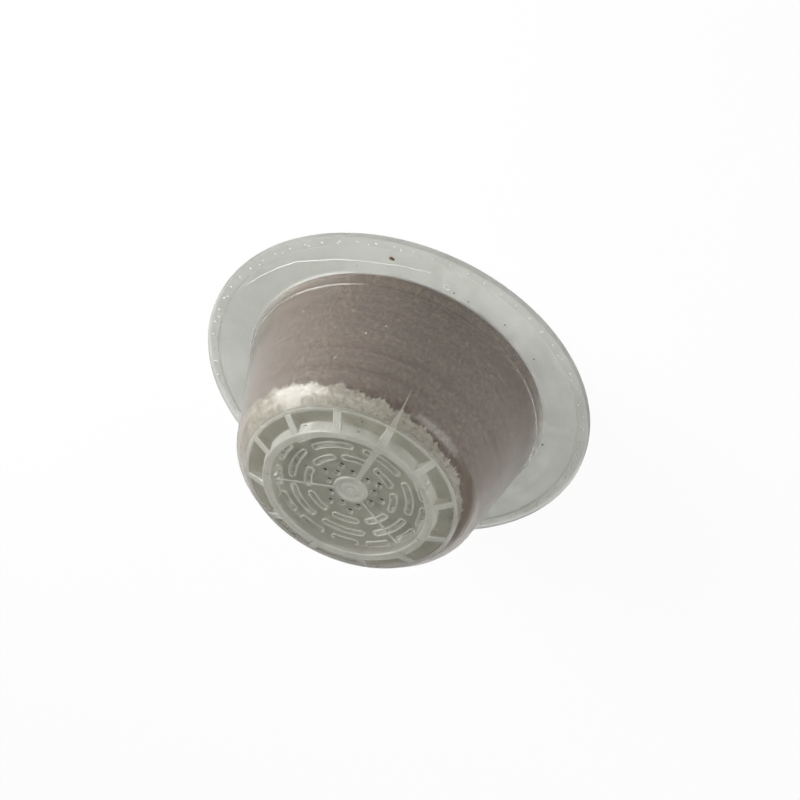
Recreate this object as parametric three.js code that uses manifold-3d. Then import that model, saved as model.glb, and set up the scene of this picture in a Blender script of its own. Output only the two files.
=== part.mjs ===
// Single-serve coffee pod, standing on its lid with the perforated base up.
// Millimetres, +Z up, origin at the centre of the lid film's underside.
import * as THREE from 'three';
import { mergeVertices } from 'three/addons/utils/BufferGeometryUtils.js';
import Module from 'manifold-3d';

const { Manifold, Mesh: SolidMesh } = await loadSolids();

// Lid film
const filmThickness = 0.1;
const filmMargin = 0.3; // bare flange left outside the film

// Flange
const flangeRadius = 25;
const flangeThickness = 0.7;
const flangeBeadWidth = 1.4;
const flangeBeadHeight = 0.15;
const flangeFillet = 0.45; // where the flange turns up into the wall

// Heights of the base, counted from its recessed disc
const discHeight = 19.1;
const collarRise = 1.4;
const rimRise = 0.05;
const shoulderDrop = 1.8; // down to where the wall's line meets the shoulder's line

// Side wall
const wallThickness = 0.65;
const wallDraft = THREE.MathUtils.degToRad(12.3);
const bandHeight = 1.8; // thicker band above the flange
const bandStep = 0.15; // ledge at the top of that band
const shoulderRun = 1.8; // inwards from the wall's line to the rim
const shoulderFillet = 5;

// Rim, channel and collar
const rimDrop = 0.4; // outer face of the rim, down to the shoulder
const rimWidth = 0.55;
const channelWidth = 2.2;
const channelDepth = 0.2; // below the rim's crest
const collarWidth = 1.0;
const collarDraft = 0.25; // each side of the collar grows by this towards its foot
const floorThickness = 0.8;
const floorFillet = 0.9; // inside, where the shoulder meets the floor
const edgeRound = 0.2;

// Boss in the middle of the base, then rings of holes and slots, each a step outside the last
const bossRadius = 2.1;
const bossHeight = 0.22;
const bossGrooveRadius = 1.2;
const bossGrooveWidth = 0.45;
const bossGrooveDepth = 0.14;
const innerHoleStep = 0.85;
const outerHoleStep = 1.05;
const holesInRing = 9;
const holeMouth = 0.46; // radius at the disc
const holeThroat = 0.26; // radius at the inner face
const slotRings = [
  { step: 1.5, count: 8, reach: 38, turn: 16 },
  { step: 2.05, count: 7, reach: 44, turn: 41 },
  { step: 1.8, count: 13, reach: 22, turn: 4 },
];
const collarStep = 0.6;
const slotOpening = 0.62;
const slotLip = 0.24;
const slotLipHeight = 0.16;

// Gussets in the channel, and the flow marks that the gate left
const gateAngle = THREE.MathUtils.degToRad(263.5);
const gussetCount = 12;
const gussetWidth = 1.0;
const runnerHeight = 0.16;
const gateRunner = { start: 1.2, startWidth: 0.55, collarWidth: 1.1, rimWidth: 0.8, tipDrop: 4.7 };
const sideRunner = { count: 2, width: 0.35 };

// Contents
const pieceGap = 0.3; // between the loose contents and the moulding
const paperThickness = 0.3;
const paperRadius = 14.8; // flat sheet, before it was pressed in
const paperShift = 1.3; // how far the sheet sits off the middle
const paperShiftAngle = THREE.MathUtils.degToRad(345);
const paperFray = 0.35;

const revolveSteps = 64;
const paperSteps = 84;
const turnedStations = 5; // down the paper's turned edge
const wideBendStep = THREE.MathUtils.degToRad(10);
const smallBendStep = THREE.MathUtils.degToRad(50);
const slotBendSteps = 2; // per quarter of a slot's round end
const holeFacets = 10;
const overlap = 0.3; // how far added features run into the body that carries them

const flangeTop = filmThickness + flangeThickness;
const bandTop = flangeTop + bandHeight;
const floorHeight = discHeight - floorThickness;
const collarHeight = discHeight + collarRise;
const rimHeight = discHeight + rimRise;
const shoulderHeight = discHeight - shoulderDrop;
const channelFloor = rimHeight - channelDepth;
const innerHoleRadius = bossRadius + innerHoleStep;
const outerHoleRadius = innerHoleRadius + outerHoleStep;
const collarInner = slotRings.reduce((radius, { step }) => radius + step, outerHoleRadius) + collarStep;
const collarRadius = collarInner + collarWidth;
const rimInner = collarRadius + channelWidth;
const rimRadius = rimInner + rimWidth;

async function loadSolids() {
  const wasm = await Module();
  wasm.setup();
  return wasm;
}

// Outlines in the (radius, height) plane

function point(r, z, fillet = 0) {
  const corner = new THREE.Vector2(r, z);
  corner.fillet = fillet;
  return corner;
}

function roundCorner(before, corner, after) {
  if (!corner.fillet) return [corner];
  const back = before.clone().sub(corner);
  const ahead = after.clone().sub(corner);
  const half = Math.acos(THREE.MathUtils.clamp(back.dot(ahead) / (back.length() * ahead.length()), -1, 1)) / 2;
  const room = 0.48 * Math.min(back.length(), ahead.length());
  const run = Math.min(corner.fillet / Math.tan(half), room);
  const from = corner.clone().addScaledVector(back.normalize(), run);
  const to = corner.clone().addScaledVector(ahead.normalize(), run);
  const bend = Math.PI - 2 * half;
  const steps = Math.max(2, Math.ceil(bend / (corner.fillet > 1 ? wideBendStep : smallBendStep)));
  const radius = run * Math.tan(half);
  const middle = back.clone().add(ahead).normalize();
  const centre = corner.clone().addScaledVector(middle, radius / Math.sin(half));
  const spread = from.clone().sub(centre);
  const turn = Math.sign(spread.cross(to.clone().sub(centre))) * bend;
  return Array.from({ length: steps + 1 }, (_, i) =>
    spread.clone().rotateAround(new THREE.Vector2(), (turn * i) / steps).add(centre));
}

function roundedOutline(corners) {
  return corners.flatMap((corner, i) =>
    roundCorner(corners[i - 1] ?? corner, corner, corners[i + 1] ?? corner));
}

function lineThrough(from, to) {
  return { at: from.clone(), along: to.clone().sub(from).normalize() };
}

function level(z) {
  return { at: new THREE.Vector2(0, z), along: new THREE.Vector2(1, 0) };
}

// Lines run upwards, so their left side is the inside
function inset(line, distance) {
  const left = new THREE.Vector2(-line.along.y, line.along.x);
  return { at: line.at.clone().addScaledVector(left, distance), along: line.along };
}

function meet(one, other) {
  const reach = other.at.clone().sub(one.at).cross(other.along) / one.along.cross(other.along);
  return one.at.clone().addScaledVector(one.along, reach);
}

// Solids

function solidFrom(geometry) {
  geometry.deleteAttribute('normal');
  geometry.deleteAttribute('uv');
  const merged = mergeVertices(geometry);
  const index = merged.index.array;
  const kept = [];
  for (let i = 0; i < index.length; i += 3) {
    const [a, b, c] = index.slice(i, i + 3);
    if (a !== b && b !== c && c !== a) kept.push(a, b, c);
  }
  return new Manifold(new SolidMesh({
    numProp: 3,
    vertProperties: Float32Array.from(merged.attributes.position.array),
    triVerts: Uint32Array.from(kept),
  }));
}

function geometryFrom(solid) {
  const { vertProperties, triVerts } = solid.getMesh();
  const geometry = new THREE.BufferGeometry();
  geometry.setAttribute('position', new THREE.BufferAttribute(vertProperties, 3));
  geometry.setIndex(new THREE.BufferAttribute(triVerts, 1));
  geometry.computeVertexNormals();
  return geometry;
}

function revolve(outline) {
  return solidFrom(new THREE.LatheGeometry(outline, revolveSteps).rotateX(Math.PI / 2));
}

// A side view in (radius, height), given a width and turned to its place round the axis
function radialPlate(outline, width, angle) {
  const plate = new THREE.ExtrudeGeometry(new THREE.Shape(outline), { depth: width, bevelEnabled: false });
  return solidFrom(plate.rotateX(Math.PI / 2).translate(0, width / 2, 0).rotateZ(angle));
}

// A plan view in (x, y), raised from one height to another and turned round the axis
function upright(shape, bottom, top, angle = 0) {
  const block = new THREE.ExtrudeGeometry(shape, {
    depth: top - bottom,
    bevelEnabled: false,
    curveSegments: slotBendSteps,
  });
  return solidFrom(block.translate(0, 0, bottom).rotateZ(angle));
}

// Cup

const shoulderCorner = point(rimRadius + shoulderRun, shoulderHeight);
const wallFoot = point(shoulderCorner.x + (shoulderHeight - bandTop) * Math.tan(wallDraft), bandTop);
const bandFoot = wallFoot.x + bandStep + bandHeight * Math.tan(wallDraft);
const rimFoot = point(rimRadius, rimHeight - rimDrop);
const wallLine = lineThrough(wallFoot, shoulderCorner);
const shoulderLine = lineThrough(shoulderCorner, rimFoot);

function insideWall(gap, z) {
  return meet(inset(wallLine, wallThickness + gap), level(z));
}

// Corners of what lines or fills the cup at a gap to its wall, from the mouth up to the base
function fillCorners(gap, bottom, top) {
  const side = inset(wallLine, wallThickness + gap);
  const slope = inset(shoulderLine, wallThickness + gap);
  const bend = meet(side, slope);
  const edge = meet(slope, level(top));
  return [
    meet(side, level(bottom)),
    point(bend.x, bend.y, shoulderFillet - wallThickness - gap),
    point(edge.x, edge.y, floorFillet),
  ];
}

function bossCorners() {
  const top = discHeight + bossHeight;
  const grooveOuter = bossGrooveRadius + bossGrooveWidth / 2;
  const grooveInner = bossGrooveRadius - bossGrooveWidth / 2;
  return [
    point(bossRadius + bossHeight, discHeight),
    point(bossRadius, top),
    point(grooveOuter, top),
    point(bossGrooveRadius, top - bossGrooveDepth),
    point(grooveInner, top),
    point(0, top),
  ];
}

function moulding() {
  const beadStart = flangeRadius - flangeBeadWidth;
  return revolve(roundedOutline([
    point(0, filmThickness),
    point(flangeRadius, filmThickness),
    point(flangeRadius, flangeTop + flangeBeadHeight, edgeRound),
    point(beadStart, flangeTop + flangeBeadHeight),
    point(beadStart - flangeBeadHeight, flangeTop),
    point(bandFoot, flangeTop, flangeFillet),
    point(wallFoot.x + bandStep, bandTop - bandStep),
    wallFoot,
    point(shoulderCorner.x, shoulderCorner.y, shoulderFillet),
    rimFoot,
    point(rimRadius, rimHeight, edgeRound / 2),
    point(rimInner, rimHeight),
    point(rimInner - channelDepth / 2, channelFloor),
    point(collarRadius + collarDraft, channelFloor, edgeRound),
    point(collarRadius, collarHeight, edgeRound),
    point(collarInner, collarHeight, edgeRound),
    point(collarInner - collarDraft, discHeight, edgeRound),
    ...bossCorners(),
  ]));
}

// Sloping plate that props the collar against the rim
function gusset(angle) {
  const foot = channelFloor - overlap;
  return radialPlate([
    point(collarRadius - overlap, foot),
    point(rimInner + overlap / 2, foot),
    point(rimInner + overlap / 2, rimHeight),
    point(collarRadius, collarHeight - edgeRound),
    point(collarRadius - overlap, collarHeight - edgeRound),
  ], gussetWidth, angle);
}

// Strip that the gate left over the disc, the collar, one gusset and the shoulder
function gateStrip() {
  const { start, startWidth, collarWidth: widest, rimWidth: atRim, tipDrop } = gateRunner;
  const tipHeight = discHeight - tipDrop;
  const tip = meet(wallLine, level(tipHeight));
  const skin = revolve(roundedOutline([
    point(0, tipHeight),
    tip,
    point(shoulderCorner.x + runnerHeight, shoulderCorner.y, shoulderFillet),
    point(rimRadius + runnerHeight, rimHeight - rimDrop + runnerHeight),
    point(rimRadius, rimHeight + runnerHeight),
    point(rimInner, rimHeight + runnerHeight),
    point(collarRadius, collarHeight + runnerHeight),
    point(collarInner, collarHeight + runnerHeight),
    point(collarInner - collarDraft, discHeight + runnerHeight),
    point(0, discHeight + runnerHeight),
  ]));
  const plan = new THREE.Shape([
    point(start, -startWidth / 2),
    point(collarRadius, -widest / 2),
    point(rimRadius, -atRim / 2),
    point(tip.x, 0),
    point(rimRadius, atRim / 2),
    point(collarRadius, widest / 2),
    point(start, startWidth / 2),
  ]);
  return skin.intersect(upright(plan, tipHeight, collarHeight + 2 * runnerHeight, gateAngle));
}

function sideStrip(angle) {
  return radialPlate([
    point(gateRunner.start, discHeight - overlap),
    point(collarInner, discHeight - overlap),
    point(collarInner - collarDraft / 2, discHeight + runnerHeight),
    point(gateRunner.start, discHeight + runnerHeight),
  ], sideRunner.width, angle);
}

function slotShape(radius, width, from, to) {
  const shape = new THREE.Shape();
  const half = width / 2;
  shape.absarc(0, 0, radius + half, from, to, false);
  shape.absarc(radius * Math.cos(to), radius * Math.sin(to), half, to, to + Math.PI, false);
  shape.absarc(0, 0, radius - half, to, from, true);
  shape.absarc(radius * Math.cos(from), radius * Math.sin(from), half, from + Math.PI, from + 2 * Math.PI, false);
  return shape;
}

function slotPlaces() {
  let radius = outerHoleRadius;
  return slotRings.flatMap(({ step, count, reach, turn }) => {
    radius += step;
    return slotsInRing(radius, count, reach, turn);
  });
}

function slotsInRing(radius, count, reach, turn) {
  const half = THREE.MathUtils.degToRad(reach / 2) - (slotOpening / 2 + slotLip) / radius;
  return Array.from({ length: count }, (_, i) => {
    const middle = gateAngle + THREE.MathUtils.degToRad(turn + (360 * i) / count);
    return { radius, from: middle - half, to: middle + half };
  });
}

function holePlaces() {
  const step = (2 * Math.PI) / holesInRing;
  const runnerEvery = holesInRing / (sideRunner.count + 1);
  const ring = Array.from({ length: holesInRing }, (_, i) => i);
  const outer = ring.filter((i) => i % runnerEvery !== 0).map((i) => [outerHoleRadius, gateAngle + i * step]);
  const inner = ring.map((i) => [innerHoleRadius, gateAngle + (i + 0.5) * step]);
  return [...outer, ...inner];
}

function hole(radius, angle) {
  const cutTop = discHeight + overlap;
  const cutBottom = floorHeight - overlap;
  const flare = (holeMouth - holeThroat) / floorThickness;
  const cone = new THREE.CylinderGeometry(
    holeMouth + flare * overlap, holeThroat - flare * overlap / 2, cutTop - cutBottom, holeFacets);
  cone.rotateX(Math.PI / 2);
  cone.translate(radius * Math.cos(angle), radius * Math.sin(angle), (cutTop + cutBottom) / 2);
  return solidFrom(cone);
}

function cup() {
  const gussets = Array.from({ length: gussetCount }, (_, i) => gusset(gateAngle + (2 * Math.PI * i) / gussetCount));
  const runners = Array.from({ length: sideRunner.count }, (_, i) =>
    sideStrip(gateAngle + (2 * Math.PI * (i + 1)) / (sideRunner.count + 1)));
  const slots = slotPlaces();
  const lips = slots.map(({ radius, from, to }) =>
    upright(slotShape(radius, slotOpening + 2 * slotLip, from, to), discHeight - overlap, discHeight + slotLipHeight));
  const openings = slots.map(({ radius, from, to }) =>
    upright(slotShape(radius, slotOpening, from, to), floorHeight - overlap, collarHeight));
  const holes = holePlaces().map(([radius, angle]) => hole(radius, angle));
  const cavity = revolve(roundedOutline([point(0, 0), ...fillCorners(0, 0, floorHeight), point(0, floorHeight)]));
  const body = Manifold.union([moulding(), gateStrip(), ...gussets, ...runners, ...lips]);
  return geometryFrom(body.subtract(Manifold.union([cavity, ...openings, ...holes])));
}

// Contents and lid

const paperCorners = [...fillCorners(pieceGap, flangeTop, floorHeight), point(0, floorHeight)];
const paperOutline = roundedOutline(paperCorners).reverse();
const paperCourse = new THREE.Path(paperOutline);
const paperTurn = paperOutline[1].x; // where the flat sheet starts to bend

function paperPoint(distance) {
  return paperCourse.getPoint(distance / paperCourse.getLength());
}

// Round sheet pressed against the base, its frayed edge turned down inside the shoulder
function filterPaper() {
  const rows = Array.from({ length: paperSteps }, (_, k) => {
    const angle = (2 * Math.PI * k) / paperSteps;
    const fray = (Math.sin(19 * angle) + Math.sin(31 * angle + 1) + Math.sin(47 * angle + 2)) / 3;
    const reach = paperRadius + paperShift * Math.cos(angle - paperShiftAngle) + paperFray * fray;
    const turned = Array.from({ length: turnedStations }, (_, i) =>
      paperTurn + ((reach - paperTurn) * i) / (turnedStations - 1));
    const outer = [0, ...turned].map(paperPoint);
    const inner = [0, ...turned].map((distance, i) => {
      const along = paperCourse.getTangent(distance / paperCourse.getLength());
      return new THREE.Vector2(along.y, -along.x).multiplyScalar(paperThickness).add(outer[i]);
    });
    inner[0].x = 0;
    return [...inner, ...outer.reverse()].map(({ x, y }) => [x * Math.cos(angle), x * Math.sin(angle), y]);
  });
  return geometryFrom(loft(rows));
}

// Closes a ring of equal sections, each running from the axis to the axis
function loft(rows) {
  const length = rows[0].length;
  const index = [];
  rows.forEach((_, k) => {
    const next = ((k + 1) % rows.length) * length;
    for (let i = 0; i + 1 < length; i += 1) {
      const here = k * length + i;
      index.push(here, next + i, here + 1, next + i, next + i + 1, here + 1);
    }
  });
  const geometry = new THREE.BufferGeometry();
  geometry.setAttribute('position', new THREE.Float32BufferAttribute(rows.flat(2), 3));
  geometry.setIndex(index);
  return solidFrom(geometry);
}

// Fills the cup, stepped in where the paper's edge comes down between it and the wall
function groundCoffee() {
  const room = pieceGap + paperThickness + pieceGap;
  const ledge = paperPoint(paperRadius + paperShift + paperFray).y - pieceGap;
  const top = floorHeight - paperThickness;
  const [, bend, edge] = fillCorners(room, filmThickness, top);
  return geometryFrom(revolve(roundedOutline([
    point(0, filmThickness),
    insideWall(pieceGap, filmThickness),
    insideWall(pieceGap, ledge),
    insideWall(room, ledge),
    bend,
    edge,
    point(0, top),
  ])));
}

function lidFilm() {
  return geometryFrom(revolve([
    point(0, 0),
    point(flangeRadius - filmMargin, 0),
    point(flangeRadius - filmMargin, filmThickness),
    point(0, filmThickness),
  ]));
}

function piece(name, geometry, color, roughness) {
  const mesh = new THREE.Mesh(geometry, new THREE.MeshStandardMaterial({ color, roughness, metalness: 0 }));
  mesh.name = name;
  return mesh;
}

const pod = new THREE.Group();
pod.add(piece('cup', cup(), 0xb9bcb2, 0.35));
pod.add(piece('filter_paper', filterPaper(), 0xdcdacb, 0.95));
pod.add(piece('ground_coffee', groundCoffee(), 0x46352b, 1));
pod.add(piece('lid_film', lidFilm(), 0xc6c9c0, 0.3));

export default pod;
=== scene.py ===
import bpy, bmesh, math
from mathutils import Matrix, Vector, noise


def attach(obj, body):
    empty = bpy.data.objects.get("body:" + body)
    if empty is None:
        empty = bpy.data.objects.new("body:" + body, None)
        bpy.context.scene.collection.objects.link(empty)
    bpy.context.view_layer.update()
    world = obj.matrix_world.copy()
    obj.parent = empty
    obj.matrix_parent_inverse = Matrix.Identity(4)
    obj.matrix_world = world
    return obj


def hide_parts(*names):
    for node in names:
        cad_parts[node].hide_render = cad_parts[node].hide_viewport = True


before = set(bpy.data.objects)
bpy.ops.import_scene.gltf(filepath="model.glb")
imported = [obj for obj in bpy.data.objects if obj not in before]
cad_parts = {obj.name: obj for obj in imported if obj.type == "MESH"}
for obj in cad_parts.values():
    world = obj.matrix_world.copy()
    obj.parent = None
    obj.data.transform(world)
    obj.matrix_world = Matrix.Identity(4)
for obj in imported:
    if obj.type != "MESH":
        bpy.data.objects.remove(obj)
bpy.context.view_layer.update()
mm = 0.001


# Meshes from outlines, given in millimetres

rounding = {"stepAngle": math.radians(9), "leastSteps": 3, "edgeShare": 0.48}


def newObject(name, data):
    made = bpy.data.objects.new(name, data)
    bpy.context.scene.collection.objects.link(made)
    return made


def meshFrom(name, points, faces):
    mesh = bpy.data.meshes.new(name)
    mesh.from_pydata([[c * mm for c in p] for p in points], [], faces)
    mesh.update()
    return newObject(name, mesh)


def bake(piece):  # the modifiers' result becomes the piece's own mesh
    graph = bpy.context.evaluated_depsgraph_get()
    graph.update()
    mesh = bpy.data.meshes.new_from_object(piece.evaluated_get(graph))
    old = piece.data
    piece.modifiers.clear()
    piece.data = mesh
    bpy.data.meshes.remove(old)
    return piece


def smoothShade(piece, sharpAngle=32):
    sharp = math.radians(sharpAngle)
    shape = bmesh.new()
    shape.from_mesh(piece.data)
    for face in shape.faces:
        face.smooth = True
    for edge in shape.edges:
        edge.smooth = len(edge.link_faces) == 2 and edge.calc_face_angle(0) < sharp
    shape.to_mesh(piece.data)
    shape.free()
    return piece


def roundCorner(before, corner, after, fillet):
    back, ahead = before - corner, after - corner
    half = back.angle(ahead) / 2
    longest = rounding["edgeShare"] * min(back.length, ahead.length)
    run = min(fillet / math.tan(half), longest)
    bend = math.pi - 2 * half
    steps = max(rounding["leastSteps"], math.ceil(bend / rounding["stepAngle"]))
    radius = run * math.tan(half)
    inwards = (back.normalized() + ahead.normalized()).normalized()
    centre = corner + inwards * (radius / math.sin(half))
    start = corner + back.normalized() * run - centre
    end = corner + ahead.normalized() * run - centre
    turn = math.copysign(bend, start.cross(end))
    return [centre + Matrix.Rotation(turn * i / steps, 2) @ start for i in range(steps + 1)]


def roundedOutline(corners):  # corners are (radius, height) or (radius, height, fillet)
    places = [Vector(c[:2]) for c in corners]
    outline = []
    for i, corner in enumerate(corners):
        if len(corner) > 2:
            outline += roundCorner(places[i - 1], places[i], places[i + 1], corner[2])
        else:
            outline.append(places[i])
    return outline


def revolve(name, outline, steps=256):  # from the axis to the axis, the solid on the left
    points, rows = [], []
    for r, z in outline:
        if r < 1e-6:
            rows.append([len(points)] * steps)
            points.append((0, 0, z))
        else:
            rows.append(list(range(len(points), len(points) + steps)))
            for k in range(steps):
                a = 2 * math.pi * k / steps
                points.append((r * math.cos(a), r * math.sin(a), z))
    faces = []
    for low, high in zip(rows, rows[1:]):
        for k in range(steps):
            n = (k + 1) % steps
            face = [low[k], low[n], high[n], high[k]]
            faces.append([v for i, v in enumerate(face) if v != face[i - 1]])
    return meshFrom(name, points, faces)


def stackContours(name, contours):  # closed solid through equal contours, one after another
    count = len(contours[0])
    points = [p for contour in contours for p in contour]
    faces = [list(range(count))[::-1], list(range(len(points) - count, len(points)))]
    for row in range(0, len(points) - count, count):
        for k in range(count):
            n = (k + 1) % count
            faces.append([row + k, row + n, row + count + n, row + count + k])
    return meshFrom(name, points, faces)


def combine(target, tool, operation):
    step = target.modifiers.new(operation.lower(), "BOOLEAN")
    step.operation = operation
    step.solver = "MANIFOLD"
    step.object = tool
    bake(target)
    bpy.data.objects.remove(tool)
    return target


# Geometry Nodes

def newTree(name, inputs):
    tree = bpy.data.node_groups.new(name, "GeometryNodeTree")
    panel = tree.interface
    panel.new_socket(name="Geometry", in_out="INPUT", socket_type="NodeSocketGeometry")
    for label, kind, value in inputs:
        socket = panel.new_socket(name=label, in_out="INPUT", socket_type="NodeSocket" + kind)
        if value is not None:
            socket.default_value = value
    panel.new_socket(name="Geometry", in_out="OUTPUT", socket_type="NodeSocketGeometry")
    return tree


def node(tree, kind, links=None, **settings):
    made = tree.nodes.new(kind)
    for key, value in settings.items():
        setattr(made, key, value)
    for socket, source in (links or {}).items():
        if hasattr(source, "links"):
            tree.links.new(source, made.inputs[socket])
        else:
            made.inputs[socket].default_value = source
    return made


def calculate(tree, operation, *values):  # a Math node's result
    return node(tree, "ShaderNodeMath", dict(enumerate(values)), operation=operation).outputs[0]


def endTree(tree, geometry, material):
    solid = node(tree, "GeometryNodeRealizeInstances", {"Geometry": geometry})
    painted = node(tree, "GeometryNodeSetMaterial", {
        "Geometry": solid.outputs[0], "Material": material})
    node(tree, "NodeGroupOutput", {"Geometry": painted.outputs[0]})
    return tree


def runTree(piece, tree, values):
    step = piece.modifiers.new(tree.name, "NODES")
    step.node_group = tree
    items = tree.interface.items_tree
    sockets = {s.name: s.identifier for s in items if s.in_out == "INPUT"}
    for label, value in values.items():
        step[sockets[label]] = value
    return bake(piece)


def repeatTree():  # copies of the piece, evenly round the Z axis
    tree = newTree("repeatRound", [
        ("Count", "Int", 12), ("Turn", "Float", 0.0), ("Material", "Material", None)])
    given = node(tree, "NodeGroupInput").outputs
    index = node(tree, "GeometryNodeInputIndex").outputs[0]
    share = calculate(tree, "DIVIDE", index, given["Count"])
    angle = calculate(tree, "MULTIPLY_ADD", share, 2 * math.pi, given["Turn"])
    turned = node(tree, "ShaderNodeCombineXYZ", {"Z": angle})
    places = node(tree, "GeometryNodePoints", {"Count": given["Count"]})
    copies = node(tree, "GeometryNodeInstanceOnPoints", {
        "Points": places.outputs[0], "Instance": given["Geometry"],
        "Rotation": turned.outputs[0]})
    return endTree(tree, copies.outputs[0], given["Material"])


repeatRound = repeatTree()


# Materials

def newMaterial(name, sockets):
    material = bpy.data.materials.new(name)
    material.use_nodes = True
    shader = material.node_tree.nodes["Principled BSDF"]
    for label, value in sockets.items():
        shader.inputs[label].default_value = value
    return material, material.node_tree, shader


def mottle(tree, scale, detail=2, roughness=0.5, stretch=(1, 1, 1), distortion=0):
    place = node(tree, "ShaderNodeTexCoord").outputs["Object"]
    held = node(tree, "ShaderNodeMapping", {"Vector": place, "Scale": Vector(stretch)})
    return node(tree, "ShaderNodeTexNoise", {
        "Vector": held.outputs[0], "Scale": scale, "Detail": detail,
        "Roughness": roughness, "Distortion": distortion}).outputs["Fac"]


def tint(tree, shader, value, stops):  # body colour from (position, colour) stops
    made = node(tree, "ShaderNodeValToRGB", {"Fac": value})
    band = made.color_ramp
    while len(band.elements) < len(stops):
        band.elements.new(0.5)
    for element, (position, colour) in zip(band.elements, stops):
        element.position = position
        element.color = (*colour, 1)
    tree.links.new(made.outputs["Color"], shader.inputs["Base Color"])


def bumps(tree, shader, heights):  # (height, strength, distance in mm), coarse first
    normal = None
    for height, strength, distance in heights:
        links = {"Height": height, "Strength": strength, "Distance": distance * mm}
        if normal:
            links["Normal"] = normal
        normal = node(tree, "ShaderNodeBump", links).outputs[0]
    tree.links.new(normal, shader.inputs["Normal"])


def letLightIn(tree, shader, share):  # lamps light what is behind, as the frosting lets them
    path = node(tree, "ShaderNodeLightPath").outputs
    clear = node(tree, "ShaderNodeBsdfTransparent", {"Color": (*share, 1)})
    mixed = node(tree, "ShaderNodeMixShader", {
        0: path["Is Shadow Ray"], 1: shader.outputs[0], 2: clear.outputs[0]})
    tree.links.new(mixed.outputs[0], tree.nodes["Material Output"].inputs["Surface"])


# Each zone of the moulding: body colours, share of light that passes, roughness,
# share of the lamps' light let in behind it, and strength of its turned lines
frostLook = {
    "wall": {"dark": (0.64, 0.59, 0.53), "light": (0.90, 0.86, 0.80),
             "through": 0.915, "rough": (0.15, 0.29), "lets": 0.68, "lines": 0.08},
    "base": {"dark": (0.68, 0.67, 0.59), "light": (0.80, 0.79, 0.71),
             "through": 0.85, "rough": (0.26, 0.36), "lets": 0.52, "lines": 0},
    "thick": {"dark": (0.80, 0.80, 0.73), "light": (0.95, 0.95, 0.88),
              "through": 0.62, "rough": (0.22, 0.38), "lets": 0.55, "lines": 0},
    "flange": {"dark": (0.80, 0.81, 0.76), "light": (0.88, 0.89, 0.85),
               "through": 0.82, "rough": (0.30, 0.42), "lets": 0.66, "lines": 0},
    "flow": {"dark": (0.66, 0.62, 0.52), "light": (0.82, 0.79, 0.70),
             "through": 0.58, "rough": (0.24, 0.30), "lets": 0.55, "lines": 0},
    "channel": {"dark": (0.62, 0.60, 0.52), "light": (0.78, 0.76, 0.68),
                "through": 0.85, "rough": (0.24, 0.34), "lets": 0.52, "lines": 0},
}
frosting = {
    "index": 1.49, "shadeAt": (0.36, 0.6),
    "lineScale": 60, "turned": (0.3, 0.3, 50), "plain": (5, 5, 5), "lineDepth": 0.07,
    "grainScale": 2900, "grainDetail": 4, "grainRoughness": 0.7,
    "grainStrength": 0.25, "grainDepth": 0.03,
}


def frostedPlastic(name, look):
    material, tree, shader = newMaterial(name, {
        "Transmission Weight": look["through"], "IOR": frosting["index"]})
    stretch = frosting["turned"] if look["lines"] else frosting["plain"]
    lines = mottle(tree, frosting["lineScale"], stretch=stretch)
    grain = mottle(tree, frosting["grainScale"], frosting["grainDetail"],
                   frosting["grainRoughness"])
    cloud = node(tree, "ShaderNodeMix", {"Factor": 0.5, "A": grain, "B": lines},
                 data_type="FLOAT").outputs[0]
    tint(tree, shader, cloud, list(zip(frosting["shadeAt"], (look["dark"], look["light"]))))
    low, high = look["rough"]
    rough = node(tree, "ShaderNodeMapRange", {"Value": lines, "To Min": low, "To Max": high})
    tree.links.new(rough.outputs["Result"], shader.inputs["Roughness"])
    bumps(tree, shader, [(lines, look["lines"], frosting["lineDepth"]),
                         (grain, frosting["grainStrength"], frosting["grainDepth"])])
    letLightIn(tree, shader, [look["lets"]] * 3)
    return material


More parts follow.
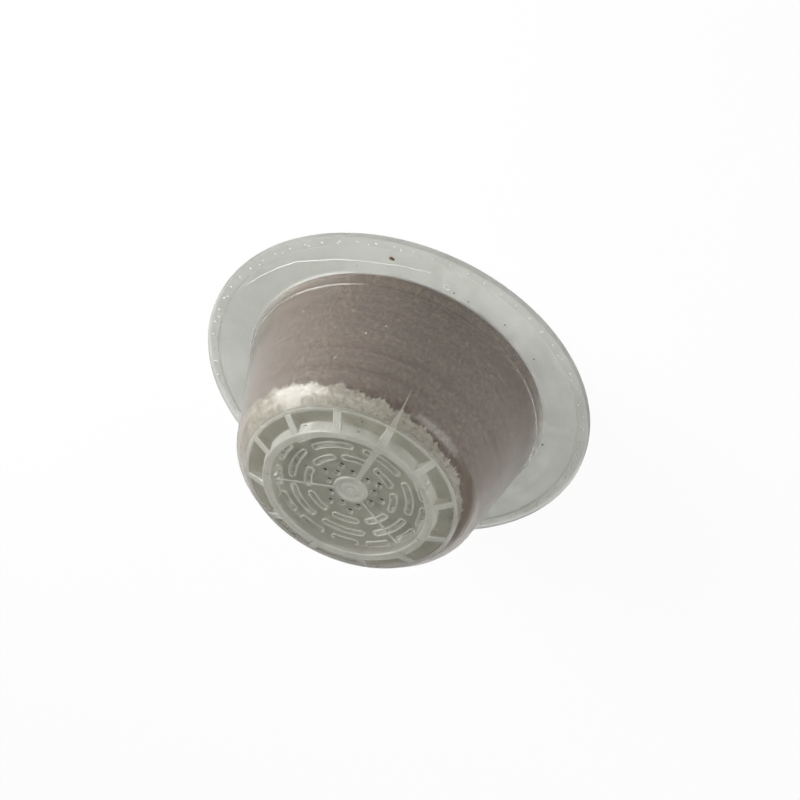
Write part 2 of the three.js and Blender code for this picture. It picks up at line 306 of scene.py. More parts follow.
# What fills and closes the cup: shader sockets, grain of the colour, grain of the relief
# where it differs, relief's strength and depth, and for the film the light it lets in
finishes = {
    "fibrousPaper": {
        "sockets": {"Roughness": 0.95, "Specular IOR Level": 0.2},
        "grain": {"scale": 1100, "detail": 6, "roughness": 0.7, "distortion": 0.8},
        "stops": [(0.30, (0.22, 0.23, 0.19)), (0.47, (0.48, 0.50, 0.45)),
                  (0.70, (0.74, 0.76, 0.72))],
        "strength": 0.9, "depth": 0.1},
    "pressedPaper": {
        "sockets": {"Roughness": 0.95, "Specular IOR Level": 0.2},
        "grain": {"scale": 1100, "detail": 6, "roughness": 0.7, "distortion": 0.8},
        "stops": [(0.30, (0.44, 0.43, 0.37)), (0.47, (0.56, 0.55, 0.48)),
                  (0.70, (0.68, 0.67, 0.60))],
        "strength": 0.3, "depth": 0.1},
    "groundCoffee": {
        "sockets": {"Roughness": 0.9, "Specular IOR Level": 0.25},
        "grain": {"scale": 2400, "detail": 4, "roughness": 0.75},
        "stops": [(0.30, (0.012, 0.008, 0.006)), (0.52, (0.110, 0.064, 0.040)),
                  (0.74, (0.45, 0.29, 0.19))],
        "strength": 0.8, "depth": 0.2},
    "sealedFilm": {
        "sockets": {"Roughness": 0.35, "Transmission Weight": 0.55, "IOR": 1.3},
        "grain": {"scale": 220},
        "stops": [(0.3, (0.84, 0.85, 0.82)), (0.7, (0.92, 0.93, 0.91))],
        "relief": {"scale": 300, "detail": 3},
        "strength": 0.3, "depth": 0.1, "lets": (0.7, 0.7, 0.68)},
    "sealedWhite": {
        "sockets": {"Roughness": 0.22, "IOR": 1.5},
        "grain": {"scale": 900},
        "stops": [(0.3, (0.80, 0.82, 0.79)), (0.7, (0.95, 0.96, 0.94))],
        "relief": {"scale": 3000},
        "strength": 0.3, "depth": 0.03},
    # its dark colour also serves the blots of painted shade in the holes' throats
    "roastedGrainAndHoleShade": {
        "sockets": {"Roughness": 0.7},
        "grain": {"scale": 2500},
        "stops": [(0.35, (0.018, 0.009, 0.005)), (0.7, (0.10, 0.05, 0.03))],
        "relief": {"scale": 6000},
        "strength": 0.6, "depth": 0.05},
    "driedCoffee": {
        "sockets": {"Roughness": 0.7},
        "grain": {"scale": 2500},
        "stops": [(0.35, (0.13, 0.075, 0.045)), (0.7, (0.30, 0.19, 0.125))],
        "relief": {"scale": 6000},
        "strength": 0.6, "depth": 0.05},
}


def mottledFinish(name, look):
    material, tree, shader = newMaterial(name, look["sockets"])
    grain = mottle(tree, **look["grain"])
    tint(tree, shader, grain, look["stops"])
    relief = mottle(tree, **look["relief"]) if "relief" in look else grain
    bumps(tree, shader, [(relief, look["strength"], look["depth"])])
    if "lets" in look:
        letLightIn(tree, shader, look["lets"])
    return material


plastics = [frostedPlastic(zone + "Polypropylene", look) for zone, look in frostLook.items()]
materials = {name: mottledFinish(name, look) for name, look in finishes.items()}
print("materials made")


# Cup

cup = {
    "filmThickness": 0.1, "flangeRadius": 25, "flangeThickness": 0.7,
    "beadWidth": 1.4, "beadHeight": 0.15,
    "disc": 19.1, "collarRise": 1.4, "rimRise": 0.05, "shoulderDrop": 1.8,
    "wall": 0.65, "draft": math.radians(12.3), "bandHeight": 1.8, "bandStep": 0.15,
    "shoulderRun": 1.8, "rimDrop": 0.4, "rimWidth": 0.55,
    "channelWidth": 2.2, "channelDepth": 0.2,
    "collarInner": 9.95, "collarWidth": 1.0, "collarDraft": 0.25, "floor": 0.8,
}
fillets = {
    "edge": 0.2, "filmSide": 0.12, "bead": 0.1, "wallFoot": 0.45, "band": 0.08,
    "shoulder": 5.0, "rimFoot": 0.12, "rimOuter": 0.15, "rimInner": 0.08, "channel": 0.06,
    "floor": 0.9,
}
flangeTop = cup["filmThickness"] + cup["flangeThickness"]
bandTop = flangeTop + cup["bandHeight"]
collarTop = cup["disc"] + cup["collarRise"]
rimTop = cup["disc"] + cup["rimRise"]
channelFloor = rimTop - cup["channelDepth"]
floorHeight = cup["disc"] - cup["floor"]
collarOuter = cup["collarInner"] + cup["collarWidth"]
rimInner = collarOuter + cup["channelWidth"]
rimOuter = rimInner + cup["rimWidth"]
shoulderHeight = cup["disc"] - cup["shoulderDrop"]
shoulderRadius = rimOuter + cup["shoulderRun"]
drafted = math.tan(cup["draft"])
wallFoot = shoulderRadius + (shoulderHeight - bandTop) * drafted


def wallRadius(z):
    return wallFoot - (z - bandTop) * drafted


def meet(a, along, b, other):  # where two lines cross
    return a + along * ((b - a).cross(other) / along.cross(other))


def insetLine(start, end, distance):
    along = (end - start).normalized()
    return start + Vector((-along.y, along.x)) * distance, along


def fillCorners(gap, bottom, top):  # what lines or fills the cup, at a gap to its wall
    inset = cup["wall"] + gap
    corner = Vector((shoulderRadius, shoulderHeight))
    side = insetLine(Vector((wallFoot, bandTop)), corner, inset)
    slope = insetLine(corner, Vector((rimOuter, rimTop - cup["rimDrop"])), inset)
    level = Vector((1, 0))
    mouth = meet(*side, Vector((0, bottom)), level)
    bend = meet(*side, *slope)
    edge = meet(*slope, Vector((0, top)), level)
    bendFillet = fillets["shoulder"] - cup["wall"] - gap
    return [(*mouth,), (*bend, bendFillet), (*edge, fillets["floor"])]


boss = {"radius": 2.1, "height": 0.22, "flare": 0.12, "edge": 0.08,
        "rings": [(1.75, 0.0), (1.45, -0.12), (1.2, -0.12), (0.95, 0.0),
                  (0.7, 0.02), (0.5, -0.08), (0.36, -0.08), (0.22, 0.03)]}


def bossOutline():
    top = cup["disc"] + boss["height"]
    corners = [(boss["radius"] + boss["flare"], cup["disc"])]
    corners += [(r, top + step, boss["edge"]) for r, step in [(boss["radius"], 0), *boss["rings"]]]
    return corners + [(0, top + boss["rings"][-1][1])]


def cupBody():
    bead = cup["flangeRadius"] - cup["beadWidth"]
    edge = fillets["edge"]
    bandFoot = wallFoot + cup["bandStep"] + cup["bandHeight"] * drafted
    return revolve("cup", roundedOutline([
        (0, cup["filmThickness"]),
        (cup["flangeRadius"], cup["filmThickness"], fillets["filmSide"]),
        (cup["flangeRadius"], flangeTop + cup["beadHeight"], edge),
        (bead, flangeTop + cup["beadHeight"], fillets["bead"]),
        (bead - cup["beadHeight"], flangeTop, fillets["bead"]),
        (bandFoot, flangeTop, fillets["wallFoot"]),
        (wallFoot + cup["bandStep"], bandTop - cup["bandStep"], fillets["band"]),
        (wallFoot, bandTop, fillets["band"]),
        (shoulderRadius, shoulderHeight, fillets["shoulder"]),
        (rimOuter, rimTop - cup["rimDrop"], fillets["rimFoot"]),
        (rimOuter, rimTop, fillets["rimOuter"]),
        (rimInner, rimTop, fillets["rimInner"]),
        (rimInner - cup["channelDepth"] / 2, channelFloor, fillets["channel"]),
        (collarOuter + cup["collarDraft"], channelFloor, edge),
        (collarOuter, collarTop, edge),
        (cup["collarInner"], collarTop, edge),
        (cup["collarInner"] - cup["collarDraft"], cup["disc"], edge),
        *bossOutline(),
    ]))


def cavity():
    low = -1  # below the film, so that the cup is open there
    corners = [(0, low), *fillCorners(0, low, floorHeight), (0, floorHeight)]
    return revolve("cavity", roundedOutline(corners))


gussets = {"count": 12, "width": 1.0, "edge": 0.14, "sunk": 0.3, "intoRim": 0.12,
           "overRim": 0.02, "underCollar": 0.12, "gateAngle": math.radians(263.5)}


def gussetSet():  # sloping plates that prop the collar against the rim
    half = gussets["width"] / 2
    inner, outer = collarOuter - gussets["sunk"], rimInner + gussets["intoRim"]
    low, high = channelFloor - gussets["sunk"], collarTop - gussets["underCollar"]
    side = [(inner, low), (outer, low), (outer, rimTop + gussets["overRim"]),
            (collarOuter, high), (inner, high)]
    plate = stackContours("gussets", [[(r, y, z) for r, z in side] for y in (half, -half)])
    soften = plate.modifiers.new("soften", "BEVEL")
    soften.width = gussets["edge"] * mm
    soften.segments = 3
    bake(plate)
    return runTree(plate, repeatRound, {"Count": gussets["count"], "Turn": gussets["gateAngle"]})


slots = {"opening": 0.62, "lip": 0.24, "lipHeight": 0.16, "sunk": 0.3, "taper": 0.05,
         "endPoints": 12, "sidePoints": 14,
         "lipEdge": [(0, -0.1), (-0.03, -0.04), (-0.09, 0)],
         "mouthEdge": [(0, -0.12), (0.03, -0.05), (0.10, 0.05)],
         "rings": [{"radius": 5.5, "count": 8, "reach": 38, "turn": 16},
                   {"radius": 7.55, "count": 7, "reach": 44, "turn": 41},
                   {"radius": 9.35, "count": 13, "reach": 22, "turn": 4}]}


def arc(centre, radius, start, sweep, count, z):
    angles = [start + sweep * k / count for k in range(count)]
    x, y = centre
    return [(x + radius * math.cos(a), y + radius * math.sin(a), z) for a in angles]


def slotContour(radius, half, width, z):  # bent round the axis, with round ends
    ends, sides = slots["endPoints"], slots["sidePoints"]
    x, y = radius * math.cos(half), radius * math.sin(half)
    return (arc((0, 0), radius + width, -half, 2 * half, sides, z)
            + arc((x, y), width, half, math.pi, ends, z)
            + arc((0, 0), radius - width, half, -2 * half, sides, z)
            + arc((x, -y), width, math.pi - half, math.pi, ends, z))


def slotSolids(ring, levels, name):  # levels are (half width, height)
    radius = ring["radius"]
    half = math.radians(ring["reach"] / 2) - (slots["opening"] / 2 + slots["lip"]) / radius
    solid = stackContours(name, [slotContour(radius, half, width, z) for width, z in levels])
    turn = gussets["gateAngle"] + math.radians(ring["turn"])
    return runTree(solid, repeatRound, {"Count": ring["count"], "Turn": turn})


def slotLevels(foot, half, edge):
    top = cup["disc"] + slots["lipHeight"]
    return [foot] + [(half + wider, top + higher) for wider, higher in edge]


def lipLevels():
    wide = slots["opening"] / 2 + slots["lip"]
    return slotLevels((wide, cup["disc"] - slots["sunk"]), wide, slots["lipEdge"])


def openingLevels():
    half = slots["opening"] / 2
    foot = (half - slots["taper"], floorHeight - slots["sunk"])
    return slotLevels(foot, half, slots["mouthEdge"])


# Every third place in the outer ring has no hole, where the flow marks run
holes = {"inRing": 9, "mouth": 0.46, "throat": 0.26, "points": 20, "flare": 0.1,
         "throatHeight": 0.1, "mouthDepth": 0.05, "through": 0.2,
         "rings": [{"radius": 4.0, "shift": 0.0, "every": 3, "kept": (1, 2)},
                   {"radius": 2.95, "shift": 0.5, "every": 1, "kept": (0,)}],
         # height and size of the dark blot in each hole's throat, which is painted shade
         "shadeBlotHeight": 0.32, "shadeBlotSize": 0.31}


def holeSet(ring, place):
    step = 2 * math.pi / holes["inRing"]
    throat, mouth, deep = holes["throat"], holes["mouth"], holes["mouthDepth"]
    levels = [(throat, floorHeight - holes["through"]),
              (throat, floorHeight + holes["throatHeight"]),
              (mouth, cup["disc"] - deep), (mouth + holes["flare"], cup["disc"] + deep)]
    cone = stackContours("hole", [
        arc((ring["radius"], 0), r, 0, 2 * math.pi, holes["points"], z) for r, z in levels])
    turn = gussets["gateAngle"] + (ring["shift"] + place) * step
    return runTree(cone, repeatRound, {"Count": holes["inRing"] // ring["every"], "Turn": turn})


runners = {"height": 0.16, "start": 1.2, "startWidth": 0.55, "collarWidth": 1.1,
           "rimWidth": 0.8, "tipDrop": 4.7, "tipWidth": 0.04,
           "rimFillet": 0.15, "channelFillet": 0.3, "collarFillet": 0.2,
           "sideWidth": 0.34, "sideDrop": 0.02, "sideEdge": 0.08, "sideCrown": 0.5,
           "sunk": 0.3, "overlap": 0.1}
gateTip = cup["disc"] - runners["tipDrop"]
gatePlan = [(runners["start"], runners["startWidth"]), (collarOuter, runners["collarWidth"]),
            (rimOuter, runners["rimWidth"]), (wallRadius(gateTip), runners["tipWidth"])]


def gateStrip():  # left by the gate over the disc, the collar, one gusset and the shoulder
    raised = runners["height"]
    rim, channel, collar = (runners[k + "Fillet"] for k in ("rim", "channel", "collar"))
    skin = revolve("gateStrip", roundedOutline([
        (0, gateTip), (wallRadius(gateTip), gateTip),
        (shoulderRadius + raised, shoulderHeight, fillets["shoulder"]),
        (rimOuter + raised, rimTop - cup["rimDrop"] + raised, rim),
        (rimOuter, rimTop + raised, rim),
        (rimInner, rimTop + raised, channel),
        (collarOuter, collarTop + raised, channel),
        (cup["collarInner"], collarTop + raised, collar),
        (cup["collarInner"] - cup["collarDraft"], cup["disc"] + raised, collar),
        (0, cup["disc"] + raised)]))
    outline = [(r, -w / 2) for r, w in gatePlan] + [(r, w / 2) for r, w in reversed(gatePlan)]
    heights = (gateTip, collarTop + 1)
    wedge = stackContours("wedge", [[(r, y, z) for r, y in outline] for z in heights])
    wedge.data.transform(Matrix.Rotation(gussets["gateAngle"], 4, "Z"))
    return combine(skin, wedge, "INTERSECT")


def sideStrips():  # fine ridges from the boss to the collar
    half = runners["sideWidth"] / 2
    crown = half * runners["sideCrown"]
    low = cup["disc"] - runners["sunk"]
    top = cup["disc"] + runners["height"] - runners["sideDrop"]
    brow = top - runners["sideEdge"]
    section = [(-half, low), (half, low), (half, brow), (crown, top), (-crown, top),
               (-half, brow)]
    ends = (runners["start"], cup["collarInner"] + runners["overlap"])
    strip = stackContours("sideStrips", [[(r, y, z) for y, z in section] for r in ends])
    return runTree(strip, repeatRound, {"Count": 3, "Turn": gussets["gateAngle"]})


def gateReach(along):  # half the gate strip's width at a distance from the axis
    for (r, w), (nextR, nextW) in zip(gatePlan, gatePlan[1:]):
        if r <= along <= nextR:
            return (w + (nextW - w) * (along - r) / (nextR - r)) / 2
    return -1


seams = {"raised": 0.04, "discEdge": 0.35, "crown": 0.03, "collarEdge": 0.1, "gate": 0.003,
         "rimEdge": 0.05, "floor": 0.1, "channel": 0.1, "flange": 0.3}


def zoneOf(centre, up):  # thick and raised sections look whiter, the gate's mark browner
    x, y, z = centre
    cosine, sine = math.cos(gussets["gateAngle"]), math.sin(gussets["gateAngle"])
    r, along, aside = math.hypot(x, y), x * cosine + y * sine, abs(y * cosine - x * sine)
    inner = cup["collarInner"]
    raised = z > cup["disc"] + seams["raised"] and r < inner - seams["discEdge"]
    crown = z > rimTop - seams["crown"] and inner - seams["collarEdge"] < r < rimOuter
    gate = z > gateTip and aside < gateReach(along) + seams["gate"] and up > 0
    if gate and along > rimOuter:
        return "flow"
    if raised or crown or gate:
        return "thick"
    if r < rimInner + seams["rimEdge"] and z > floorHeight - seams["floor"]:
        return "channel" if r > collarOuter - seams["channel"] else "base"
    return "flange" if z < flangeTop + seams["flange"] and r > wallFoot else "wall"


def makeCup():
    body = cupBody()
    combine(body, gussetSet(), "UNION")
    for ring in slots["rings"]:
        combine(body, slotSolids(ring, lipLevels(), "slotLips"), "UNION")
    combine(body, cavity(), "DIFFERENCE")
    for ring in slots["rings"]:
        combine(body, slotSolids(ring, openingLevels(), "slotOpenings"), "DIFFERENCE")
    for ring in holes["rings"]:
        for place in ring["kept"]:
            combine(body, holeSet(ring, place), "DIFFERENCE")
    combine(body, combine(gateStrip(), cavity(), "DIFFERENCE"), "UNION")
    combine(body, sideStrips(), "UNION")
    body.data.materials.clear()
    for material in plastics:
        body.data.materials.append(material)
    zones = list(frostLook)
    for face in body.data.polygons:
        face.material_index = zones.index(zoneOf(face.center / mm, face.normal.z))
    return smoothShade(body)


cupPiece = makeCup()
print("cup made", len(cupPiece.data.polygons), "faces")


# Filter paper

sheet = {"radius": 14.8, "shift": 1.3, "shiftAngle": math.radians(345), "thickness": 0.14,
         "gap": 0.06, "around": 720, "turned": 14, "flat": 10, "pressedDepth": 0.5,
         "lift": 0.12, "lean": 0.6, "waves": 12, "waveStep": 0.1, "thinning": 0.6}
tear = {"fray": 0.75, "broad": 9, "octaves": (0.9, 2.2, 5), "broadShare": 0.7,
        "tufts": 55, "tuftsFrom": Vector((0, 0, 4)), "tuftShare": 0.5,
        "wisps": 130, "wispShare": 0.6}


def alongOutline(outline, distance):  # the point that far along, and the direction there
    for a, b in zip(outline, outline[1:]):
        length = (b - a).length
        if distance <= length or b is outline[-1]:
            return a + (b - a).normalized() * distance, (b - a).normalized()
        distance -= length


def paperReach(angle):  # from the axis to the torn edge, along the sheet
    out = Vector((math.cos(angle), math.sin(angle), 0))
    torn = noise.fractal(out * tear["broad"], *tear["octaves"], noise_basis="PERLIN_ORIGINAL")
    tufts = noise.noise(out * tear["tufts"] + tear["tuftsFrom"])
    tufts += tear["wispShare"] * noise.noise(out * tear["wisps"])
    centred = sheet["radius"] + sheet["shift"] * math.cos(angle - sheet["shiftAngle"])
    return centred + tear["fray"] * (tear["broadShare"] * torn + tear["tuftShare"] * tufts)


fibres = {"perArea": 14.0, "length": 1.1, "radius": 0.022, "bend": 0.25, "slimming": 1.2,
          "parts": 4, "sides": 3, "edgeFrom": 16.9, "seed": 7}


def fibre():  # one bent, slim strand that lies along the X axis
    contours = []
    for i in range(fibres["parts"] + 1):
        t = i / fibres["parts"] - 0.5
        r = fibres["radius"] * (1 - fibres["slimming"] * abs(t))
        angles = [2 * math.pi * k / fibres["sides"] for k in range(fibres["sides"])]
        contours.append([(t * fibres["length"], fibres["bend"] * t * t + r * math.cos(a),
                          r * math.sin(a)) for a in angles])
    return stackContours("strand", contours)


def fringeTree():  # strands lie at random on the paper's outer face near its torn edge
    tree = newTree("tornFringe", [
        ("Per Area", "Float", 1.0), ("Edge From", "Float", 0.017), ("Seed", "Int", 0),
        ("Strand", "Object", None), ("Material", "Material", None)])
    given = node(tree, "NodeGroupInput").outputs
    height = node(tree, "ShaderNodeSeparateXYZ", {
        0: node(tree, "GeometryNodeInputPosition").outputs[0]}).outputs["Z"]
    low = calculate(tree, "LESS_THAN", height, given["Edge From"])
    onFace = node(tree, "GeometryNodeDistributePointsOnFaces", {
        "Mesh": given["Geometry"], "Selection": low, "Density": given["Per Area"],
        "Seed": given["Seed"]})
    spin = node(tree, "FunctionNodeRandomValue", {
        "Max": 2 * math.pi, "Seed": given["Seed"]}, data_type="FLOAT")
    spun = node(tree, "ShaderNodeCombineXYZ", {"Z": [o for o in spin.outputs if o.enabled][0]})
    laid = node(tree, "FunctionNodeRotateRotation", {
        "Rotation": onFace.outputs["Rotation"], "Rotate By": spun.outputs[0]},
        rotation_space="LOCAL")
    strand = node(tree, "GeometryNodeObjectInfo", {"Object": given["Strand"]})
    strands = node(tree, "GeometryNodeInstanceOnPoints", {
        "Points": onFace.outputs["Points"], "Instance": strand.outputs["Geometry"],
        "Rotation": laid.outputs[0]})
    joined = node(tree, "GeometryNodeJoinGeometry")
    tree.links.new(strands.outputs[0], joined.inputs[0])
    tree.links.new(given["Geometry"], joined.inputs[0])
    return endTree(tree, joined.outputs[0], given["Material"])


def addFibres(sheetPiece):
    strand = fibre()
    strand.data.flip_normals()
    runTree(sheetPiece, fringeTree(), {
        "Per Area": fibres["perArea"] / mm ** 2, "Edge From": fibres["edgeFrom"] * mm,
        "Seed": fibres["seed"], "Strand": strand, "Material": materials["fibrousPaper"]})
    bpy.data.objects.remove(strand)
    return sheetPiece


def paperRow(outline, angle):  # the sheet's section at an angle: outer face, then inner face
    flat, turned = sheet["flat"], sheet["turned"]
    turnStart = outline[1].x
    reach = paperReach(angle)
    stations = [turnStart * (i + 1) / flat for i in range(flat)]
    stations += [turnStart + (reach - turnStart) * (i + 1) / turned for i in range(turned)]
    outer, inner = [], []
    for i, station in enumerate(stations):
        place, along = alongOutline(outline, station)
        inwards = Vector((along.y, -along.x))
        loose = max(0, i - flat) / turned
        around = Vector((math.cos(angle), math.sin(angle), sheet["waveStep"] * i))
        wave = noise.noise(around * sheet["waves"])
        outer.append(place + inwards * sheet["lift"] * loose * (wave + sheet["lean"]))
        inner.append(outer[-1] + inwards * sheet["thickness"] * (1 - sheet["thinning"] * loose))
    return outer + inner[::-1]


def makePaper():
    top = floorHeight - sheet["gap"] / 2
    outline = roundedOutline([(0, top), *reversed(fillCorners(sheet["gap"], flangeTop, top))])
    count, rowLength = sheet["around"], 2 * (sheet["flat"] + sheet["turned"])
    points, faces = [], []
    for k in range(count):
        angle = 2 * math.pi * k / count
        cosine, sine = math.cos(angle), math.sin(angle)
        points += [(p.x * cosine, p.x * sine, p.y) for p in paperRow(outline, angle)]
        here, there = k * rowLength, ((k + 1) % count) * rowLength
        faces += [[here + i + 1, there + i + 1, there + i, here + i] for i in range(rowLength - 1)]
    points += [(0, 0, top), (0, 0, top - sheet["thickness"])]
    for k in range(count):
        here, there = k * rowLength, ((k + 1) % count) * rowLength
        faces.append([here, there, len(points) - 2])
        faces.append([there + rowLength - 1, here + rowLength - 1, len(points) - 1])
    piece = addFibres(smoothShade(meshFrom("filterPaper", points, faces), 60))
    piece.data.materials.append(materials["pressedPaper"])
    for face in piece.data.polygons:
        if face.center.z > (floorHeight - sheet["pressedDepth"]) * mm:
            face.material_index = 1
    return piece


paperPiece = makePaper()
print("paper made")


# Ground coffee

charge = {"gap": 0.12, "filmGap": 0.02, "topGap": 0.35, "room": 0.5, "ledge": 14.0,
          "around": 300, "rise": 0.35, "grain": 0.12, "sunk": 0.7, "smooth": 0.1, "hub": 1,
          "lumps": 1.9, "crumbs": 4.3, "crumbShare": 0.6}


def makeCoffee():  # narrower above the ledge, which leaves room for the paper's edge
    bottom = cup["filmThickness"] + charge["filmGap"]
    top = floorHeight - charge["topGap"]
    mouth = fillCorners(charge["gap"], bottom, top)[0]
    inner = fillCorners(charge["room"], bottom, top)
    ledge = charge["ledge"]
    outline = roundedOutline([
        (0, bottom), mouth, (mouth[0] - (ledge - bottom) * drafted, ledge),
        inner[1], inner[2], (0, top)])
    fine = [outline[0]]
    for a, b in zip(outline, outline[1:]):
        parts = max(1, round((b - a).length / charge["rise"]))
        fine += [a.lerp(b, (i + 1) / parts) for i in range(parts)]
    piece = revolve("groundCoffee", fine, charge["around"])
    lowest, highest = bottom + charge["smooth"], top - charge["smooth"]
    for v in piece.data.vertices:
        place = v.co / mm
        if math.hypot(place.x, place.y) > charge["hub"] and lowest < place.z < highest:
            lump = noise.noise(place * charge["lumps"])
            lump += charge["crumbShare"] * noise.noise(place * charge["crumbs"])
            out = Vector((place.x, place.y, 0)).normalized()
            v.co += out * (charge["grain"] * (lump - charge["sunk"])) * mm
    piece.data.materials.append(materials["groundCoffee"])
    return smoothShade(piece, 80)


coffeePiece = makeCoffee()
print("coffee made")


# Lid film

lid = {"margin": 0.3, "thickness": 0.09, "edge": 0.03}


def makeLid():
    outer = cup["flangeRadius"] - lid["margin"]
    top, edge = lid["thickness"], lid["edge"]
    outline = roundedOutline([(0, 0), (outer, 0, edge), (outer, top, edge), (0, top)])
    piece = revolve("lidFilm", outline)
    piece.data.materials.append(materials["sealedFilm"])
    return smoothShade(piece)


lidPiece = makeLid()
print("lid made")


# Marks of sealing and handling, and painted shade in the holes

marks = {
    "bubbles": [{"radius": 24.2, "count": 64, "size": 0.17, "turn": 0.0},
                {"radius": 23.95, "count": 37, "size": 0.11, "turn": 0.05}],
    "dome": [(0, -1), (1, -1), (0.92, 0.8), (0.6, 2), (0, 2.3)],
    "rise": 0.05,
    "weld": [(275, 21.5), (286, 21.15), (293, 20.93), (300, 21.05), (307, 21.28),
             (315, 21.53), (322, 22.1), (330, 22.3), (339, 22.65), (345, 22.9)],
    "weldWidth": 0.13, "weldParts": 4,
    "scratch": [(193, 22.5), (196, 23.4)], "scratchWidth": 0.1,
    "dimple": {"angle": 268, "radius": 20.3, "size": 0.42, "width": 0.09, "points": 29,
               "step": math.radians(12)},
    "endHeight": 0.3, "crest": 0.4,
}


def onFlange(angle, radius, z=0.0):
    a = math.radians(angle)
    return Vector((radius * math.cos(a), radius * math.sin(a), flangeTop + z))


def ridge(name, path, width):  # a low ridge along a path on the flange
    contours = []
    for i, place in enumerate(path):
        ahead = path[min(i + 1, len(path) - 1)] - path[max(i - 1, 0)]
        aside = Vector((-ahead.y, ahead.x, 0)).normalized() * width / 2
        height = marks["rise"] * (marks["endHeight"] if i in (0, len(path) - 1) else 1)
        crest, top = aside * marks["crest"], Vector((0, 0, height))
        contours.append([place - aside, place + aside, place + crest + top, place - crest + top])
    piece = stackContours(name, contours)
    shape = bmesh.new()
    shape.from_mesh(piece.data)
    bmesh.ops.recalc_face_normals(shape, faces=shape.faces)
    shape.to_mesh(piece.data)
    shape.free()
    return piece


def joinPieces(name, parts):
    shape = bmesh.new()
    for part in parts:
        shape.from_mesh(part.data)
        bpy.data.objects.remove(part)
    mesh = bpy.data.meshes.new(name)
    shape.to_mesh(mesh)
    shape.free()
    return newObject(name, mesh)


def bubbleRing(ring):
    profile = [Vector((ring["size"] * r, marks["rise"] * z)) for r, z in marks["dome"]]
    dot = revolve("dot", profile, 10)
    place = onFlange(0, ring["radius"], cup["beadHeight"])
    dot.data.transform(Matrix.Translation(place * mm))
    return runTree(dot, repeatRound, {"Count": ring["count"], "Turn": ring["turn"]})


def makeSealMarks():
    curve, parts = [onFlange(*place) for place in marks["weld"]], marks["weldParts"]
    fine = [a.lerp(b, t / parts) for a, b in zip(curve, curve[1:]) for t in range(parts)]
    weld = ridge("weld", fine + curve[-1:], marks["weldWidth"])
    scratch = ridge("scratch", [onFlange(*place) for place in marks["scratch"]],
                    marks["scratchWidth"])
    dimple = marks["dimple"]
    centre = onFlange(dimple["angle"], dimple["radius"])
    out = Vector((dimple["size"], 0, 0))
    turns = [Matrix.Rotation(dimple["step"] * i, 3, "Z") for i in range(dimple["points"])]
    circle = ridge("dimple", [centre + turn @ out for turn in turns], dimple["width"])
    piece = joinPieces("sealMarks", [
        *(bubbleRing(ring) for ring in marks["bubbles"]), weld, scratch, circle])
    piece.data.materials.append(materials["sealedWhite"])
    return smoothShade(piece)


specks = {
    "flange": [(265, 20.0, 0.11), (259, 19.9, 0.09), (244, 20.5, 0.10), (227, 20.5, 0.10),
               (184, 19.6, 0.12), (301, 20.2, 0.06), (222, 22.4, 0.05)],
    "wall": [(252, 11.95, 0.10), (216, 11.2, 0.13), (241, 8.0, 0.05), (276, 9.0, 0.05)],
    "base": [(6.21, -0.65, 19.12, 0.1), (-2.26, -4.89, 19.14, 0.12),
             (-0.83, -11.36, 19.95, 0.11), (2.01, -12.12, 18.97, 0.09),
             (-7.23, -10.21, 18.97, 0.09), (-4.14, -12.43, 18.97, 0.06)],
    "lint": [(321.9, 5.6, 0.07), (283.6, 7.75, 0.07), (290.3, 9.3, 0.08), (300, 13.2, 0.05),
             (236, 6.1, 0.06)],
    "stain": (288, 22.05, 0.36), "stainSunk": 0.04,
    "seed": 11, "apart": 3.7, "lump": 0.35, "lumps": 1.4, "form": (1.15, 0.85, 0.35),
    "first": {"wall": 10, "lint": 40, "stain": 60},
}
upwards = Vector((0, 0, 1))


def speck(index, centre, out, size):  # a grain stuck flat to the plastic; in the holes' throats the same blot is painted shade
    shape = bmesh.new()
    bmesh.ops.create_icosphere(shape, subdivisions=2, radius=size * mm)
    turned = out.to_track_quat("Z", "Y").to_matrix()
    longer, slimmer, flatter = specks["form"]
    source = Vector((index * specks["apart"], 0, specks["seed"]))
    for v in shape.verts:
        lump = noise.noise(v.co / (size * mm) * specks["lumps"] + source)
        lump = 1 + specks["lump"] * lump
        form = Vector((v.co.x * lump * longer, v.co.y * lump * slimmer, v.co.z * flatter))
        v.co = turned @ form + centre * mm
    mesh = bpy.data.meshes.new("speck")
    shape.to_mesh(mesh)
    shape.free()
    return newObject("speck", mesh)


def specksOnWall(kind):
    made = []
    for index, (angle, z, size) in enumerate(specks[kind], specks["first"][kind]):
        a, r = math.radians(angle), wallRadius(z)
        out = Vector((math.cos(a), math.sin(a), drafted)).normalized()
        made.append(speck(index, Vector((r * math.cos(a), r * math.sin(a), z)), out, size))
    return made


def holeShadeBlots():  # dark blots in the holes' throats, painted shade for the shadow that the holes' walls cast
    shadeBlots = []
    height = floorHeight + holes["shadeBlotHeight"]
    for ring in holes["rings"]:
        for k in range(holes["inRing"]):
            if k % ring["every"] in ring["kept"]:
                a = gussets["gateAngle"] + 2 * math.pi * (k + ring["shift"]) / holes["inRing"]
                x, y = ring["radius"] * math.cos(a), ring["radius"] * math.sin(a)
                shadeBlots.append((x, y, height, holes["shadeBlotSize"]))
    return shadeBlots


def makeSpecksAndHoleShade():
    parts = []
    for angle, radius, size in specks["flange"]:
        parts.append(speck(len(parts), onFlange(angle, radius), upwards, size))
    parts += specksOnWall("wall")
    # the blots in the holes' throats are painted shade, dark where the holes' walls shade their
    # bottoms
    for x, y, z, size in specks["base"] + holeShadeBlots():
        parts.append(speck(len(parts), Vector((x, y, z)), upwards, size))
    piece = joinPieces("coffeeSpecks", parts)
    piece.data.materials.append(materials["roastedGrainAndHoleShade"])
    return smoothShade(piece, 80)


def makeLint():
    piece = joinPieces("lint", specksOnWall("lint"))
    piece.data.materials.append(materials["sealedWhite"])
    return piece


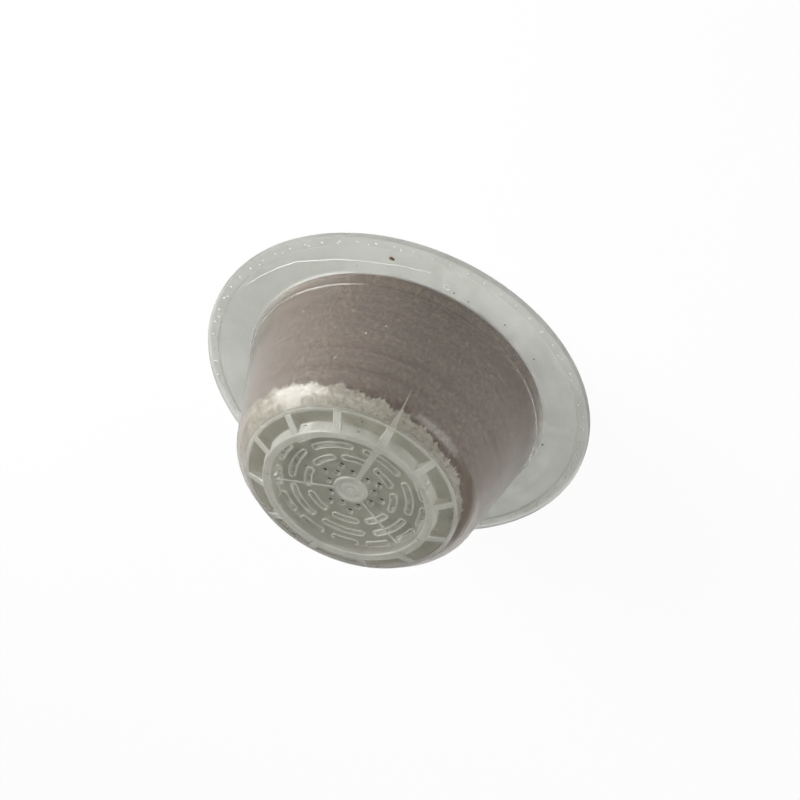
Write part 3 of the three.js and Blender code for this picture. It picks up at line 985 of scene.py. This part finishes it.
def makeStain():
    angle, radius, size = specks["stain"]
    place = onFlange(angle, radius, -specks["stainSunk"])
    piece = speck(specks["first"]["stain"], place, upwards, size)
    piece.name = "coffeeStain"
    piece.data.materials.append(materials["driedCoffee"])
    return piece


sealPiece = makeSealMarks()
speckAndHoleShadePiece = makeSpecksAndHoleShade()
lintPiece = makeLint()
stainPiece = makeStain()
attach(sealPiece, "root")
for piece in (speckAndHoleShadePiece, lintPiece, stainPiece):
    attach(piece, "root")
print("marks made")

for piece, cadNode in ((cupPiece, "cup"), (paperPiece, "filter_paper"),
                       (coffeePiece, "ground_coffee"), (lidPiece, "lid_film")):
    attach(piece, "root")
    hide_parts(cadNode)


# Stage, lights and camera

stage = {"size": 3.0, "backdrop": 0.93, "shade": 0.09, "mirrored": 0.25, "ambient": 0.09,
         "floor": (0.8, 0.8, 0.79), "lampCentre": Vector((0, 0, 0.01))}
lamps = {
    "leftBox": {"from": (0.97, -0.26, 0.36), "distance": 0.15, "size": 0.1, "power": 0.22},
    "rightBox": {"from": (-0.72, -0.68, 0.12), "distance": 0.5, "size": 0.4, "power": 1.25},
    "topBox": {"from": (-0.55, 0.25, 0.9), "distance": 0.6, "size": 0.45, "power": 1.15},
}


def makeFloor():  # looks lit from inside to the camera, and is a plain pale floor to the lamps
    half = stage["size"] / 2
    mesh = bpy.data.meshes.new("floor")
    corners = [(-half, -half, 0), (half, -half, 0), (half, half, 0), (-half, half, 0)]
    mesh.from_pydata(corners, [], [[0, 1, 2, 3]])
    floor = newObject("floor", mesh)
    material = bpy.data.materials.new("paleFloor")
    material.use_nodes = True
    tree = material.node_tree
    tree.nodes.clear()
    path = node(tree, "ShaderNodeLightPath").outputs
    mirrored = calculate(tree, "MULTIPLY", path["Is Glossy Ray"], stage["mirrored"])
    seen = calculate(tree, "MAXIMUM", path["Is Camera Ray"], mirrored)
    seen = calculate(tree, "MAXIMUM", seen, path["Is Transmission Ray"])
    plain = node(tree, "ShaderNodeBsdfDiffuse", {"Color": (*stage["floor"], 1)})
    shaded = node(tree, "ShaderNodeBsdfDiffuse", {"Color": (*[stage["shade"]] * 3, 1)})
    glow = node(tree, "ShaderNodeEmission", {"Strength": stage["backdrop"]})
    white = node(tree, "ShaderNodeAddShader", {0: shaded.outputs[0], 1: glow.outputs[0]})
    mixed = node(tree, "ShaderNodeMixShader", {
        0: seen, 1: plain.outputs[0], 2: white.outputs[0]})
    node(tree, "ShaderNodeOutputMaterial", {"Surface": mixed.outputs[0]})
    mesh.materials.append(material)


def makeWorld():
    world = bpy.data.worlds.new("studio")
    world.use_nodes = True
    tree = world.node_tree
    tree.nodes.clear()
    path = node(tree, "ShaderNodeLightPath").outputs
    soft, white = (node(tree, "ShaderNodeBackground", {
        "Color": (1, 1, 1, 1), "Strength": strength}) for strength in (stage["ambient"], 1.0))
    mixed = node(tree, "ShaderNodeMixShader", {
        0: path["Is Camera Ray"], 1: soft.outputs[0], 2: white.outputs[0]})
    node(tree, "ShaderNodeOutputWorld", {"Surface": mixed.outputs[0]})
    bpy.context.scene.world = world


def softbox(name, lamp):
    light = bpy.data.lights.new(name, "AREA")
    light.shape = "RECTANGLE"
    light.size = light.size_y = lamp["size"]
    light.energy = lamp["power"]
    made = newObject(name, light)
    out = Vector(lamp["from"]).normalized()
    made.location = out * lamp["distance"] + stage["lampCentre"]
    made.rotation_euler = out.to_track_quat("Z", "Y").to_euler()
    made.visible_camera = False


# The photograph's camera: the base's axis leans 48 degrees off the view, to the lower left
view = {"tilt": 48.15, "axisInPicture": 114.05, "distance": 0.5005, "lens": 180, "sensor": 36,
        "flangeCentre": (397.33, 385.41), "flangeMiddle": 0.0004, "frame": 800,
        "clip": (0.01, 20)}


def makeCamera():
    tilt, roll = math.radians(view["tilt"]), math.radians(view["axisInPicture"])
    forward = Vector((0, math.sin(tilt), -math.cos(tilt)))
    level, above = Vector((1, 0, 0)), Vector((0, math.cos(tilt), math.sin(tilt)))
    right = -math.sin(roll) * level + math.cos(roll) * above
    up = -math.cos(roll) * level - math.sin(roll) * above
    pixel = view["sensor"] / view["lens"] / view["frame"] * view["distance"]
    across, down = ((c - view["frame"] / 2) * pixel for c in view["flangeCentre"])
    middle = Vector((0, 0, view["flangeMiddle"]))
    place = middle - forward * view["distance"] - right * across + up * down
    camera = bpy.data.cameras.new("camera")
    camera.lens, camera.sensor_width = view["lens"], view["sensor"]
    camera.sensor_fit = "HORIZONTAL"
    camera.clip_start, camera.clip_end = view["clip"]
    made = newObject("camera", camera)
    turned = Matrix((right, up, -forward)).transposed().to_4x4()
    made.matrix_world = Matrix.Translation(place) @ turned
    bpy.context.scene.camera = made


makeCamera()
makeFloor()
makeWorld()
for name, lamp in lamps.items():
    softbox(name, lamp)
bpy.context.scene.view_settings.view_transform = "Standard"
print("stage set")
